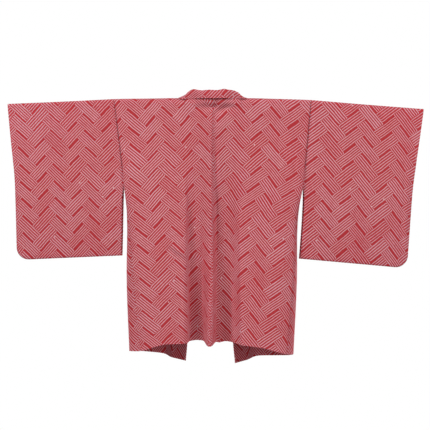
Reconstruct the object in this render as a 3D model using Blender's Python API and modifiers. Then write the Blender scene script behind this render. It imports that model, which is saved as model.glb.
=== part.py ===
"""A haori that hangs open and hollow, its back to the viewer.

Units are metres, +Z is up. The back of the garment faces -Y and the fronts face +Y.
The origin lies on the shoulder line, midway between the two armholes.
"""

import math
from collections import namedtuple
from functools import lru_cache

import bpy
import numpy as np

MM = 0.001

# Walls and seams, in metres
CLOTH_WALL = 1.8 * MM
COLLAR_WALL = 3.0 * MM
SEAM_GAP = 0.3 * MM

# Main sizes, in metres. The collar's roll is the length of cloth that turns at its fold.
ARMHOLE_DEPTH = 270 * MM
GUSSET_START = 280 * MM
COLLAR_WIDTH = 58 * MM
COLLAR_ROLL = 13 * MM
SLEEVE_CORNER = 38 * MM
SLEEVE_TOP_ROUND = 8 * MM
SLEEVE_FOOT_ROUND = 5 * MM
SLEEVE_HOLLOW = 13 * MM
SLEEVE_TOP_SAG = 0.6 * MM
SLEEVE_SWING = 2.5 * MM

# Shape of the sleeves: how soon the layers part below the top fold, how the free inner edge
# turns in towards the foot, and the share of the width that still has the armhole's depth
SLEEVE_BULGE = 0.7
SLEEVE_EDGE_CURVE = 1.5
SLEEVE_EDGE_SHARE = 0.25

CLOTH_COLOUR = (0.52, 0.13, 0.15)
CLOTH_ROUGHNESS = 0.75

# Shares of the body's length at which the tables below give each line:
# the shoulder, the armpit, the ribs, the waist and the hem
LEVELS = (0.0, 0.34, 0.47, 0.7, 1.0)

# Each line runs down the body: a seam, the crest or floor of a fold, or the outermost edge.
# x is across and y is the depth at the five levels, z is the height at the top and at the hem, in mm.
Line = namedtuple("Line", "x y z_top z_hem")

CENTRE_SEAM = Line((4, 1, 0, -3, -7), (-36, -27, -30, -42, -60), -10, -773)

LEFT_LINES = {
    "valley": Line((-41, -42, -43, -45, -47), (-31, -20, -18, -15, -4), -5.5, -759),
    "fold_edge": Line((-86, -86, -85, -84, -81), (-22, -24, -29, -40, -54), -3.5, -763),
    "flat": Line((-199, -184, -179, -168, -153), (-12, -22, -28, -40, -55), -4.2, -768),
    "back_seam": Line((-311, -277, -264, -247, -224), (-8, -11, -15, -30, -44), -6, -788),
    "outermost": Line((-411, -273, -268, -268, -258), (0, 0, -2, -12, -18), -10, -791),
    "front_seam": Line((-311, -277, -266, -263, -252), (8, 11, 10, 8, 8), -6, -793),
    "front_middle": Line((-236, -228, -226, -222, -214), (10, 22, 30, 46, 74), -4.8, -804),
    "front_fold": Line((-161, -158, -157, -156, -156), (14, 38, 50, 76, 106), -3.8, -815),
    "collar_seam": Line((-86, -96, -103, -114, -128), (22, 26, 30, 40, 56), -3.5, -821),
    "front_edge": Line((-40, -38, -48, -62, -80), (34, 26, 18, 12, 14), -3, -822),
}

RIGHT_LINES = {
    "valley": Line((49, 44, 43, 41, 39), (-31, -20, -18, -15, -6), -5.5, -762),
    "fold_edge": Line((90, 86, 83, 76, 64), (-22, -24, -29, -40, -54), -3.5, -765),
    "flat": Line((200, 186, 181, 170, 156), (-12, -22, -28, -41, -56), -5.4, -778),
    "back_seam": Line((311, 283, 264, 253, 231), (-8, -11, -15, -31, -44), -9, -798),
    "outermost": Line((411, 278, 268, 264, 251), (0, 0, -2, -13, -20), -15, -801),
    "front_seam": Line((311, 283, 266, 260, 245), (8, 11, 10, 8, 10), -9, -807),
    "front_middle": Line((237, 228, 224, 216, 204), (10, 22, 30, 46, 76), -6.2, -817),
    "front_fold": Line((163, 156, 153, 148, 144), (14, 38, 50, 77, 108), -4.4, -823),
    "collar_seam": Line((90, 93, 96, 101, 108), (22, 26, 30, 40, 54), -3.5, -829),
    "front_edge": Line((40, 36, 39, 52, 72), (34, 26, 18, 12, 10), -3, -830),
}

BODY_LINES = {-1: LEFT_LINES, 1: RIGHT_LINES}

SECTION_ORDER = ("valley", "fold_edge", "flat", "back_seam", "outermost", "front_seam",
                 "front_middle", "front_fold", "collar_seam", "front_edge")

# Cells of each panel between one line and the next, and its rows from the shoulder to the hem
FOLD_CELLS = 4
BACK_CELLS = 6
FRONT_CELLS = 4
GUSSET_CELLS = 3
NECK_CELLS = 2 * FOLD_CELLS
SHOULDER_CELLS = 2 * BACK_CELLS
BODY_ROWS = 22
GUSSET_ROWS = 18
ROUND_STEPS = 4

# Shares of the body's length: the most that the shoulder's fold takes up, and how far down
# the neckline's curve still draws the cloth
ROUND_SHARE = 0.028
NECK_REACH = 0.12

# Outline of each sleeve, in mm: the end of the top fold and the lower end of the cuff opening,
# then the outer and the inner corner at the foot
Sleeve = namedtuple("Sleeve", "top_x top_z cuff_x cuff_z outer_x outer_z inner_x inner_z")

SLEEVES = {
    -1: Sleeve(-640, -21, -617, -249, -611, -508, -282, -494),
    1: Sleeve(660, -37, 627, -261, 608, -534, 270, -504),
}
LOWER_CELLS = 7
CORNER_CELLS = 5
OUTER_CELLS = 6
SLEEVE_ROWS = 8

# How the collar stands along its length. Distance from the centre back is in mm. The next three
# columns are the way the band leaves its seam: towards the middle, to the front, and up.
# level is how far it lies in line with the front instead, from 0 to 1. rise_mm is the height of
# the inner half, and fold_deg is how far the outer half is turned outwards.
Stand = namedtuple("Stand", "distance inward forward up level rise_mm fold_deg")

COLLAR_STANDS = (
    Stand(0, 0.0, 0.1, 1.0, 0.0, 23, 174),
    Stand(42, 0.05, 0.1, 1.0, 0.0, 21, 168),
    Stand(58, 0.1, 0.1, 1.0, 0.0, 18, 156),
    Stand(74, 0.35, 0.1, 0.93, 0.0, 14, 148),
    Stand(94, 0.8, 0.0, 0.6, 0.0, 12, 169),
    Stand(115, 0.85, 0.35, 0.0, 0.0, 13, 162),
    Stand(150, 0.8, 0.5, 0.0, 0.0, 14, 150),
    Stand(230, 0.9, 0.4, 0.0, 0.2, 20, 128),
    Stand(330, 1.0, 0.1, 0.0, 0.6, 28, 95),
    Stand(430, 1.0, 0.0, 0.0, 0.9, 36, 50),
    Stand(540, 1.0, 0.0, 0.0, 1.0, 40, 12),
    Stand(640, 1.0, 0.0, 0.0, 1.0, 40, 0),
    Stand(1000, 1.0, 0.0, 0.0, 1.0, 40, 0),
)
FLAT_CELLS = 3
ROLL_CELLS = 4


def remove_startup_objects():
    """Empty the scene of what it starts with."""
    for item in list(bpy.data.objects):
        bpy.data.objects.remove(item, do_unlink=True)


def smooth_value(knots, values, slopes, where):
    """Value at one place on a smooth curve through the given values."""
    index = int(np.clip(np.searchsorted(knots, where) - 1, 0, len(knots) - 2))
    span = knots[index + 1] - knots[index]
    s = (where - knots[index]) / span
    start = (1 + 2 * s) * (1 - s) ** 2
    end = s * s * (3 - 2 * s)
    start_slope = s * (1 - s) ** 2 * span
    end_slope = s * s * (s - 1) * span
    return (start * values[index] + end * values[index + 1]
            + start_slope * slopes[index] + end_slope * slopes[index + 1])


def unit(vector):
    """The vector at length one."""
    return vector / np.linalg.norm(vector)


def line_point(line, share):
    """Point of a line at a share of the body's length, before the shoulder is rounded."""
    spots = np.array([line.x, line.y], float).T
    x, y = smooth_value(LEVELS, spots, np.gradient(spots, LEVELS, axis=0), share)
    z = line.z_top + (line.z_hem - line.z_top) * share
    return np.array([x, y, z]) * MM


@lru_cache(maxsize=None)
def section_curve(side, share):
    """Smooth curve round half of the body at one level, from the centre seam to the front edge."""
    centre = line_point(CENTRE_SEAM, share)
    points = [line_point(BODY_LINES[side][name], share) for name in SECTION_ORDER]
    mirrored = points[0].copy()
    mirrored[0] = 2 * centre[0] - points[0][0]
    points = np.array([mirrored, centre] + points)
    steps = np.linalg.norm(np.diff(points[:, :2], axis=0), axis=1)
    knots = np.concatenate([[0.0], np.cumsum(steps)])
    return knots, points, np.gradient(points, knots, axis=0)


def section_point(side, share, place):
    """Point of the body's section. place counts the lines, from 0 at the centre seam."""
    knots, points, slopes = section_curve(side, share)
    whole = min(int(place), len(SECTION_ORDER) - 1)
    where = knots[whole + 1] + (place - whole) * (knots[whole + 2] - knots[whole + 1])
    return smooth_value(knots, points, slopes, where)


def place_of(name):
    """Place in the section of a named line."""
    return SECTION_ORDER.index(name) + 1


def shoulder_rows():
    """Rows down from the shoulder: the angle round its fold, and the share of the rest below."""
    bends = [(0.5 * math.pi * i / ROUND_STEPS, 0.0) for i in range(ROUND_STEPS + 1)]
    hangs = [(0.5 * math.pi, (i + 1) / BODY_ROWS) for i in range(BODY_ROWS)]
    return bends + hangs


def hung_point(side, place, row):
    """Point of a body panel at the given place of a row, before the shoulder is rounded."""
    bend, hang = row
    share = ROUND_SHARE * (1 - math.cos(bend)) + (1 - ROUND_SHARE) * hang
    top = section_point(side, 0.0, place)
    length = top[2] - section_point(side, 1.0, place)[2]
    radius = min(abs(top[1]), ROUND_SHARE * length)
    point = section_point(side, share, place)
    point[2] = top[2] - radius * (1 - math.cos(bend)) - (length - radius) * hang
    return point


def shoulder_point(side, place, row):
    """Point of a body panel outside the neck, on the back or the front."""
    point = hung_point(side, place, row)
    point[1] *= math.sin(row[0])
    return point


def neck_point(side, column, row):
    """Point of a body panel between the centre seam and the fold edge, below the neckline."""
    bend, hang = row
    turn = 0.5 * math.pi * column / NECK_CELLS
    place = column / FOLD_CELLS
    point = hung_point(side, place, row)
    centre = section_point(side, 0.0, 0)
    edge = section_point(side, 0.0, place_of("fold_edge"))
    easing = max(0.0, 1 - hang / NECK_REACH) ** 2
    neck_x = centre[0] + (edge[0] - centre[0]) * math.sin(turn)
    point[0] += (neck_x - section_point(side, 0.0, place)[0]) * easing
    point[1] *= math.sin(bend) + (1 - math.sin(bend)) * math.cos(turn)
    return point


def seam_edge(inside, seam, beyond):
    """The edge of a piece at a seam: clear of the next piece, also where the two meet at an angle."""
    here = unit(seam - inside)
    there = unit(beyond - seam)
    turn = math.acos(min(1.0, float(np.dot(here, there))))
    clearance = 0.5 * SEAM_GAP + 0.5 * CLOTH_WALL * math.tan(0.5 * turn)
    return seam - here * clearance


def material(name, colour, roughness):
    """A plain cloth material."""
    made = bpy.data.materials.new(name)
    made.use_nodes = True
    shader = made.node_tree.nodes["Principled BSDF"]
    shader.inputs["Base Color"].default_value = (*colour, 1.0)
    shader.inputs["Roughness"].default_value = roughness
    shader.inputs["Metallic"].default_value = 0.0
    made.diffuse_color = (*colour, 1.0)
    return made


def shell(name, points, faces, wall, look, collection):
    """A wall of even thickness on an open surface."""
    mesh = bpy.data.meshes.new(name)
    mesh.from_pydata([tuple(point) for point in points], [], faces)
    mesh.validate()
    mesh.shade_smooth()
    mesh.materials.append(look)
    made = bpy.data.objects.new(name, mesh)
    collection.objects.link(made)
    solid = made.modifiers.new("wall", "SOLIDIFY")
    solid.thickness = wall
    solid.offset = 0.0
    solid.use_even_offset = True
    return made


def grid_faces(rows, columns, outward, closed=False):
    """Four-sided faces of a grid of points, all facing one way."""
    faces = []
    last = columns if closed else columns - 1
    for row in range(rows - 1):
        for column in range(last):
            beside = (column + 1) % columns
            a = row * columns + column
            b = row * columns + beside
            c = a + columns
            d = b + columns
            faces.append((a, b, d, c) if outward else (a, c, d, b))
    return faces


def body_back_point(side, column, row):
    """Point of the back, in columns from the centre seam to the side."""
    if column < NECK_CELLS:
        return neck_point(side, column, row)
    place = place_of("fold_edge") + (column - NECK_CELLS) / BACK_CELLS
    return shoulder_point(side, place, row)


def body_front_point(side, column, row):
    """Point of the front, in columns from the collar seam to the side."""
    place = place_of("collar_seam") - (column - NECK_CELLS) / FRONT_CELLS
    return shoulder_point(side, place, row)


def beside_body(side, seam_name, row):
    """A point just past the side of the body: on the gusset, or on the sleeve above it."""
    seam = shoulder_point(side, place_of(seam_name), row)
    if seam[2] > -ARMHOLE_DEPTH:
        return seam + np.array([side * SLEEVE_HOLLOW, 0.0, 0.0])
    step = 1 / GUSSET_CELLS if seam_name == "back_seam" else -1 / GUSSET_CELLS
    return hung_point(side, place_of(seam_name) + step, row)


def body_panel(name, side, look, collection):
    """One body panel: its back and its front in one piece, over the shoulder."""
    rows = shoulder_rows()
    last = NECK_CELLS + SHOULDER_CELLS
    ways = collar_ways(side)
    points = []
    index = {}
    for number, row in enumerate(rows):
        run = [body_back_point(side, column, row) for column in range(last + 1)]
        mirrored = run[1] * np.array([-1.0, 1.0, 1.0]) + np.array([2 * run[0][0], 0.0, 0.0])
        run[0] = seam_edge(run[1], run[0], mirrored)
        run[last] = seam_edge(run[last - 1], run[last], beside_body(side, "back_seam", row))
        for column, point in enumerate(run):
            index[("back", number, column)] = len(points)
            points.append(point)
    for number, row in enumerate(rows):
        run = [body_front_point(side, column, row) for column in range(NECK_CELLS, last + 1)]
        run[0] = seam_edge(run[1], run[0], run[0] + ways[NECK_CELLS + number])
        run[-1] = seam_edge(run[-2], run[-1], beside_body(side, "front_seam", row))
        for column, point in enumerate(run, NECK_CELLS):
            if number == 0:
                index[("front", 0, column)] = index[("back", 0, column)]
                continue
            index[("front", number, column)] = len(points)
            points.append(point)

    faces = []
    for half, first_column, flip in (("back", 0, side > 0), ("front", NECK_CELLS, side < 0)):
        for number in range(len(rows) - 1):
            for column in range(first_column, last):
                corners = (index[(half, number, column)],
                           index[(half, number, column + 1)],
                           index[(half, number + 1, column + 1)],
                           index[(half, number + 1, column)])
                faces.append(corners[::-1] if flip else corners)
    return shell(name, points, faces, CLOTH_WALL, look, collection)


def gusset(name, side, look, collection):
    """The strip between a back and a front, from the armpit to the hem."""
    first = place_of("back_seam")
    last = place_of("front_seam")
    length = -BODY_LINES[side]["outermost"].z_hem * MM
    start = GUSSET_START / length
    columns = 2 * GUSSET_CELLS + 1
    points = []
    for number in range(GUSSET_ROWS + 1):
        share = start + (1 - start) * number / GUSSET_ROWS
        run = [section_point(side, share, first + column / GUSSET_CELLS) for column in range(columns)]
        back = section_point(side, share, first - 1 / BACK_CELLS)
        front = section_point(side, share, last + 1 / FRONT_CELLS)
        run[0] = seam_edge(run[1], run[0], back)
        run[-1] = seam_edge(run[-2], run[-1], front)
        points.extend(run)
    faces = grid_faces(GUSSET_ROWS + 1, columns, side < 0)
    return shell(name, points, faces, CLOTH_WALL, look, collection)


def sleeve_foot(side):
    """Points where a sleeve's two layers join: along the foot, round the corner, up to the cuff."""
    sleeve = SLEEVES[side]
    inner = np.array([sleeve.inner_x, sleeve.inner_z]) * MM
    corner = np.array([sleeve.outer_x, sleeve.outer_z]) * MM
    cuff = np.array([sleeve.cuff_x, sleeve.cuff_z]) * MM
    foot_end = corner + unit(inner - corner) * SLEEVE_CORNER
    side_end = corner + unit(cuff - corner) * SLEEVE_CORNER
    points = [inner + (foot_end - inner) * i / LOWER_CELLS for i in range(LOWER_CELLS)]
    for i in range(CORNER_CELLS):
        turn = 0.5 * math.pi * i / CORNER_CELLS
        points.append(corner + (1 - math.sin(turn)) * (foot_end - corner)
                      + (1 - math.cos(turn)) * (side_end - corner))
    points += [side_end + (cuff - side_end) * i / OUTER_CELLS for i in range(OUTER_CELLS + 1)]
    return np.array(points)


def armhole_point(side, half, drop):
    """Point of the armhole seam on the back or the front, a drop below the shoulder."""
    line = BODY_LINES[side]["back_seam" if half < 0 else "front_seam"]
    return line_point(line, drop / ((line.z_top - line.z_hem) * MM))


def inner_edge_x(side, half, drop):
    """Where a sleeve's inner edge lies: along the armhole, then free down to the sleeve's foot."""
    if drop <= ARMHOLE_DEPTH:
        return armhole_point(side, half, drop)[0]
    sleeve = SLEEVES[side]
    end = armhole_point(side, half, ARMHOLE_DEPTH)[0]
    below = (drop - ARMHOLE_DEPTH) / (-sleeve.inner_z * MM - ARMHOLE_DEPTH)
    swing = side * SLEEVE_SWING * math.sin(math.pi * math.sqrt(min(1.0, below)))
    return end + (sleeve.inner_x * MM - end) * below ** SLEEVE_EDGE_CURVE + swing


def sleeve_flat_point(side, half, head, foot, ring, along):
    """Point of a sleeve seen flat, and its drop below the top fold.

    ring runs from 0 at the armhole to 1 at the cuff, along from 0 at the top fold to 1 at the foot.
    """
    flat = head + (foot - head) * along
    drop = head[1] - flat[1]
    seam_top = armhole_point(side, half, 0.0)
    inner_foot = np.array([SLEEVES[side].inner_x, SLEEVES[side].inner_z]) * MM
    straight = seam_top[0] + (inner_foot[0] - seam_top[0]) * drop / (seam_top[2] - inner_foot[1])
    bow = inner_edge_x(side, half, drop) - straight
    flat[0] += bow * (1 - ring) ** 3 + side * SEAM_GAP * (1 - ring)
    return flat, drop


def sleeve_rows():
    """Places down one layer: round the top fold, down the cloth, and round the foot."""
    top = [("top", 0.25 * math.pi * i) for i in range(2)]
    middle = [("middle", i / SLEEVE_ROWS) for i in range(SLEEVE_ROWS + 1)]
    bottom = [("bottom", 0.25 * math.pi * i) for i in (1, 0)]
    return top + middle + bottom


def sleeve_point(side, half, head, foot, ring, row):
    """Point of one layer of a sleeve at a row of its grid."""
    kind, value = row
    length = np.linalg.norm(foot - head)
    if kind == "top":
        run = SLEEVE_TOP_ROUND * (1 - math.cos(value))
        depth = SLEEVE_TOP_ROUND * math.sin(value)
    elif kind == "bottom":
        run = length - SLEEVE_FOOT_ROUND * (1 - math.cos(value))
        depth = SLEEVE_FOOT_ROUND * math.sin(value)
    else:
        run = SLEEVE_TOP_ROUND + (length - SLEEVE_TOP_ROUND - SLEEVE_FOOT_ROUND) * value
        ends = SLEEVE_TOP_ROUND + (SLEEVE_FOOT_ROUND - SLEEVE_TOP_ROUND) * value
        depth = ends + (SLEEVE_HOLLOW - ends) * math.sin(math.pi * value) ** SLEEVE_BULGE
    flat, drop = sleeve_flat_point(side, half, head, foot, ring, run / length)
    if kind == "middle" and drop <= ARMHOLE_DEPTH:
        seam_depth = abs(armhole_point(side, half, drop)[1])
        depth += (seam_depth - depth) * max(0.0, 1 - ring / SLEEVE_EDGE_SHARE)
    return np.array([flat[0], half * depth, flat[1]])


def sleeve_piece(name, side, look, collection):
    """A sleeve: a pouch with an open inner edge and an open cuff."""
    rows = sleeve_rows()
    loop = [(-1, row) for row in rows] + [(1, row) for row in rows[-2:0:-1]]
    seam_top = armhole_point(side, -1, 0.0)[[0, 2]]
    cuff_top = np.array([SLEEVES[side].top_x, SLEEVES[side].top_z]) * MM
    feet = sleeve_foot(side)
    runs = np.concatenate([[0.0], np.cumsum(np.linalg.norm(np.diff(feet, axis=0), axis=1))])
    points = []
    for foot, run in zip(feet, runs):
        ring = run / runs[-1]
        head = seam_top + (cuff_top - seam_top) * ring
        head[1] -= SLEEVE_TOP_SAG * math.sin(math.pi * ring)
        for half, row in loop:
            points.append(sleeve_point(side, half, head, foot, ring, row))
    faces = grid_faces(len(feet), len(loop), side > 0, closed=True)
    return shell(name, points, faces, CLOTH_WALL, look, collection)


def collar_seam(side):
    """The seam that carries the collar, from the centre back down to the hem.

    Gives its points, and beside each the nearest point of the body panel inside it.
    """
    rows = shoulder_rows()
    back = [neck_point(side, column, rows[0]) for column in range(NECK_CELLS)]
    below = [neck_point(side, column, rows[1]) for column in range(NECK_CELLS)]
    front = [body_front_point(side, NECK_CELLS, row) for row in rows]
    beside = [body_front_point(side, NECK_CELLS + 1, row) for row in rows]
    return np.array(back + front), np.array(below + beside)


def collar_stand(distance):
    """The stand of the collar at a distance from the centre back, read from the table."""
    table = np.array(COLLAR_STANDS, float)
    knots = table[:, 0] * MM
    return Stand(*smooth_value(knots, table, np.gradient(table, knots, axis=0), distance))


def collar_ways(side):
    """The way in which the band leaves its seam, at each point of the seam."""
    path, _ = collar_seam(side)
    steps = np.linalg.norm(np.diff(path, axis=0), axis=1)
    distance = np.concatenate([[0.0], np.cumsum(steps)])
    directions = np.gradient(path, distance, axis=0)
    lines = BODY_LINES[side]
    ways = []
    for spot, run, along in zip(path, distance, directions):
        stand = collar_stand(run)
        share = min(1.0, max(0.0, spot[2] / (lines["collar_seam"].z_hem * MM)))
        level = line_point(lines["front_edge"], share) - line_point(lines["collar_seam"], share)
        level[2] = 0.0
        own = np.array([-side * stand.inward, stand.forward, stand.up])
        way = unit(own) * (1 - stand.level) + unit(level) * stand.level
        along = unit(along)
        ways.append(unit(way - along * np.dot(way, along)))
    return ways


def collar_section(spot, inside, way, along, side, stand):
    """Points across the collar at one place of its seam."""
    outside = unit(np.cross(along, way)) * side
    leaving = spot - inside
    leaving = unit(leaving - along * np.dot(leaving, along))
    turn = math.acos(min(1.0, max(-1.0, float(np.dot(leaving, way)))))
    lift = SEAM_GAP + 0.5 * CLOTH_WALL * math.sin(min(turn, 0.5 * math.pi))
    bend = math.radians(stand.fold_deg)
    inner = stand.rise_mm * MM
    outer = COLLAR_WIDTH - COLLAR_ROLL - inner
    offsets = [(inner * i / FLAT_CELLS, 0.0) for i in range(FLAT_CELLS)]
    step = COLLAR_ROLL / ROLL_CELLS
    rise, out = inner, 0.0
    for i in range(ROLL_CELLS):
        offsets.append((rise, out))
        heading = bend * (i + 0.5) / ROLL_CELLS
        rise += step * math.cos(heading)
        out += step * math.sin(heading)
    for i in range(FLAT_CELLS + 1):
        run = outer * i / FLAT_CELLS
        offsets.append((rise + run * math.cos(bend), out + run * math.sin(bend)))
    return [spot + way * (lift + up) + outside * off for up, off in offsets]


def collar_half(side):
    """Sections of the collar from the centre back down one front."""
    path, inside = collar_seam(side)
    ways = collar_ways(side)
    steps = np.linalg.norm(np.diff(path, axis=0), axis=1)
    distance = np.concatenate([[0.0], np.cumsum(steps)])
    directions = np.gradient(path, distance, axis=0)
    sections = []
    for spot, body, way, run, along in zip(path, inside, ways, distance, directions):
        sections.append(collar_section(spot, body, way, unit(along), side, collar_stand(run)))
    return sections


def collar(name, look, collection):
    """The collar: a band round the back neck and down both fronts."""
    ordered = collar_half(-1)[:0:-1] + collar_half(1)
    points = [point for section in ordered for point in section]
    faces = grid_faces(len(ordered), len(ordered[0]), True)
    return shell(name, points, faces, COLLAR_WALL, look, collection)


def build():
    """Make every piece of the garment."""
    remove_startup_objects()
    collection = bpy.data.collections.new("haori")
    bpy.context.scene.collection.children.link(collection)
    cloth = material("red_herringbone_silk", CLOTH_COLOUR, CLOTH_ROUGHNESS)
    for side, word in ((-1, "left"), (1, "right")):
        body_panel("body_" + word, side, cloth, collection)
        gusset("gusset_" + word, side, cloth, collection)
        sleeve_piece("sleeve_" + word, side, cloth, collection)
    collar("collar", cloth, collection)


build()
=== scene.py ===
import math
from collections import namedtuple
from functools import lru_cache, partial

import bpy
import numpy as np
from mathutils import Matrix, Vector


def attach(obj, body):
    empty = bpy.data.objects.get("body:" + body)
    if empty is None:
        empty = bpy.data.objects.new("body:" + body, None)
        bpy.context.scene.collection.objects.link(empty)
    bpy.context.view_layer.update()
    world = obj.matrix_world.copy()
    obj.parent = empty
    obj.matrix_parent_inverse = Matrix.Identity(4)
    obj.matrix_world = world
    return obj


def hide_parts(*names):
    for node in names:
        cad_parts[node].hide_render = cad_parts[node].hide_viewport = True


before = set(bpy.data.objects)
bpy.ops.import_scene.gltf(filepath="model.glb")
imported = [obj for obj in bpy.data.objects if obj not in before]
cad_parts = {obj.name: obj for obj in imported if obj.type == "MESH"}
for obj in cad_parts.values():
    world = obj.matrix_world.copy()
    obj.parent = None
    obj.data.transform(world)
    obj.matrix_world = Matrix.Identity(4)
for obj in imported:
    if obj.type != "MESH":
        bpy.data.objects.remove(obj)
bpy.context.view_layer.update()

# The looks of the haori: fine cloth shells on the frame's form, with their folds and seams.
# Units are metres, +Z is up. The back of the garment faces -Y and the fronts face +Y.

MM = 0.001

# The form, with its sizes and tables
CLOTH_WALL = 1.6 * MM
COLLAR_WALL = 2.6 * MM
SEAM_GAP = 0.3 * MM
ARMHOLE_DEPTH = 270 * MM
GUSSET_START = 280 * MM
COLLAR_WIDTH = 58 * MM
COLLAR_ROLL = 13 * MM
SLEEVE_CORNER = 38 * MM
SLEEVE_TOP_ROUND = 8 * MM
SLEEVE_FOOT_ROUND = 5 * MM
SLEEVE_HOLLOW = 13 * MM
SLEEVE_TOP_SAG = 0.6 * MM
SLEEVE_SWING = 2.5 * MM
SLEEVE_BULGE = 0.7
SLEEVE_EDGE_CURVE = 1.5
SLEEVE_EDGE_SHARE = 0.25
SLEEVE_FOOT_ANGLES = (1.2, 0.8, 0.45, 0.19)
ROUND_SHARE = 0.028
NECK_REACH = 0.12

# Shares of the body's length: the shoulder, the armpit, the ribs, the waist and the hem
LEVELS = (0.0, 0.34, 0.47, 0.7, 1.0)

# Each line runs down the body: a seam, the crest or floor of a fold, or the outermost edge. In mm,
# x is across and y is the depth at the five levels, and z the height at the top and the hem.
Line = namedtuple("Line", "x y z_top z_hem")

CENTRE_SEAM = Line((4, 1, 0, -3, -7), (-36, -27, -30, -42, -60), -10, -773)

SECTION_ORDER = ("valley", "fold_edge", "flat", "back_seam", "outermost", "front_seam",
                 "front_middle", "front_fold", "collar_seam", "front_edge")

LEFT_LINES = (
    Line((-41, -42, -43, -45, -47), (-31, -20, -18, -15, -4), -5.5, -759),
    Line((-86, -86, -85, -84, -81), (-22, -24, -29, -40, -54), -3.5, -763),
    Line((-199, -184, -179, -168, -153), (-12, -22, -28, -40, -55), -4.2, -768),
    Line((-311, -277, -264, -247, -224), (-8, -11, -15, -30, -44), -6, -788),
    Line((-411, -273, -268, -268, -258), (0, 0, -2, -12, -18), -10, -791),
    Line((-311, -277, -266, -263, -252), (8, 11, 10, 8, 8), -6, -793),
    Line((-236, -228, -226, -222, -214), (10, 22, 30, 46, 74), -4.8, -804),
    Line((-161, -158, -157, -156, -156), (14, 38, 50, 76, 106), -3.8, -815),
    Line((-86, -96, -103, -114, -128), (22, 26, 30, 40, 56), -3.5, -821),
    Line((-40, -38, -48, -62, -80), (34, 26, 18, 12, 14), -3, -822),
)

RIGHT_LINES = (
    Line((49, 44, 43, 41, 39), (-31, -20, -18, -15, -6), -5.5, -762),
    Line((90, 86, 83, 76, 64), (-22, -24, -29, -40, -54), -3.5, -765),
    Line((200, 186, 181, 170, 156), (-12, -22, -28, -41, -56), -5.4, -778),
    Line((311, 283, 264, 253, 231), (-8, -11, -15, -31, -44), -9, -798),
    Line((411, 278, 268, 264, 251), (0, 0, -2, -13, -20), -15, -801),
    Line((311, 283, 266, 260, 245), (8, 11, 10, 8, 10), -9, -807),
    Line((237, 228, 224, 216, 204), (10, 22, 30, 46, 76), -6.2, -817),
    Line((163, 156, 153, 148, 144), (14, 38, 50, 77, 108), -4.4, -823),
    Line((90, 93, 96, 101, 108), (22, 26, 30, 40, 54), -3.5, -829),
    Line((40, 36, 39, 52, 72), (34, 26, 18, 12, 10), -3, -830),
)

BODY_LINES = {-1: dict(zip(SECTION_ORDER, LEFT_LINES)), 1: dict(zip(SECTION_ORDER, RIGHT_LINES))}

# Corners of each sleeve: the end of the top fold and the lower end of the cuff opening, then the
# outer and the inner corner at the foot
Sleeve = namedtuple("Sleeve", "top cuff outer inner")

SLEEVES = {
    -1: Sleeve(*np.array([(-640, -21), (-617, -249), (-611, -508), (-282, -494)]) * MM),
    1: Sleeve(*np.array([(660, -37), (627, -261), (608, -534), (270, -504)]) * MM),
}

# How the collar stands along its length. Distance from the centre back is in mm. The next three
# columns are the way the band leaves its seam: towards the middle, to the front, and up.
# level is how far it lies in line with the front instead, from 0 to 1. rise_mm is the height of
# the inner half, and fold_deg is how far the outer half is turned outwards.
Stand = namedtuple("Stand", "distance inward forward up level rise_mm fold_deg")

COLLAR_STANDS = [Stand(*row) for row in (
    (0, 0, 0.1, 1, 0, 23, 174),
    (42, 0.05, 0.1, 1, 0, 21, 168),
    (58, 0.1, 0.1, 1, 0, 18, 156),
    (74, 0.35, 0.1, 0.93, 0, 14, 148),
    (94, 0.8, 0, 0.6, 0, 12, 169),
    (115, 0.85, 0.35, 0, 0, 13, 162),
    (150, 0.8, 0.5, 0, 0, 14, 150),
    (230, 0.9, 0.4, 0, 0.2, 20, 128),
    (330, 1, 0.1, 0, 0.6, 28, 95),
    (430, 1, 0, 0, 0.9, 36, 50),
    (540, 1, 0, 0, 1, 40, 12),
    (640, 1, 0, 0, 1, 40, 0),
    (1000, 1, 0, 0, 1, 40, 0),
)]

# The collar's upper outline from behind, in mm: where it is and how much higher or lower it
# stands there than the band's even roll, as a share of its height over the shoulder
COLLAR_TOP_X = (-107, -95, -85, -75, -67, -59, -45, -32, -10, 14, 27, 38, 46, 69, 81, 92, 100, 108)
COLLAR_TOP_SHARE = (0.32, 0.76, 0.92, 1.07, 1.21, 1.24, 1.0, 0.89, 1.02, 0.95, 1.04, 1.12, 1.02,
                    1.04, 0.91, 0.76, 0.58, 0.3)
COLLAR_TOP_BASE = -4

# The ends of the collar's turned half: where they start, how much shorter they are on each side,
# how far their lower edge is drawn up to a point, and over what length
COLLAR_END_X = 85
COLLAR_END_LENGTH = {-1: 0.88, 1: 0.8}
COLLAR_END_EDGE = 0.35
COLLAR_END_REACH = 20 * MM

# Where the band belongs to the back and to the shoulders' level, each with the length of its fade
COLLAR_BEHIND = (12 * MM, 20 * MM)
COLLAR_HIGH = (50 * MM, 30 * MM)
COLLAR_TURNED_FADE = 10 * MM

# The face of the back under the collar's turned half, in mm: places across and how far back it
# is there, and how far the turned half's free edge stays from it
UNDER_COLLAR_X = (-112, -86, -80, -60, -46, -30, -14, 4, 14, 30, 46, 60, 80, 90, 112)
UNDER_COLLAR_Y = (-12, -17, -18, -22, -30, -37, -40, -41, -41, -39, -34, -25, -18, -17, -12)
COLLAR_CLEAR = 3.6

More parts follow.
